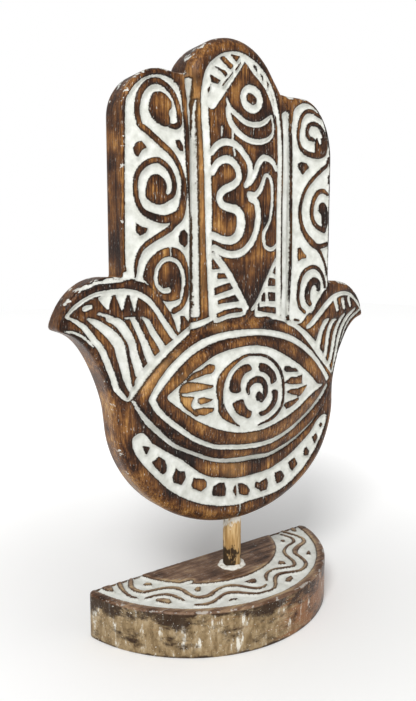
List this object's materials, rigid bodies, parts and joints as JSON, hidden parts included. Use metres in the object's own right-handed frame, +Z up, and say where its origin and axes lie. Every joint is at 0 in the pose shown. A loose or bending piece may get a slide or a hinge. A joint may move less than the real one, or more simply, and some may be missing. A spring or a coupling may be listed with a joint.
{
  "type": "hamsa hand ornament",
  "caption": "Carved wooden open-hand ornament with a domed eye, standing upright on a short peg in a half-round foot.",
  "frame": {"origin": "on the rest surface, under the middle of the ornament's box", "axes": "+Z up along the hand, +Y from the carved face to the plain back, +X to the right as the face is looked at"},
  "size_m": [0.197, 0.0634, 0.299],
  "materials": {
    "carved_wood": "dark brown stained softwood with white wash rubbed into the carving",
    "peg_wood": "pale dowel with dark stain and smears of white paint",
    "foot_wood": "pale worn sides, stained and white washed top",
    "white_paint": "matte dried glue and white paint"
  },
  "bodies": {
    "root": {"hand": "carved_wood", "peg": "peg_wood", "base": "foot_wood", "glue_bead": "white_paint"}
  },
  "joints": []
}
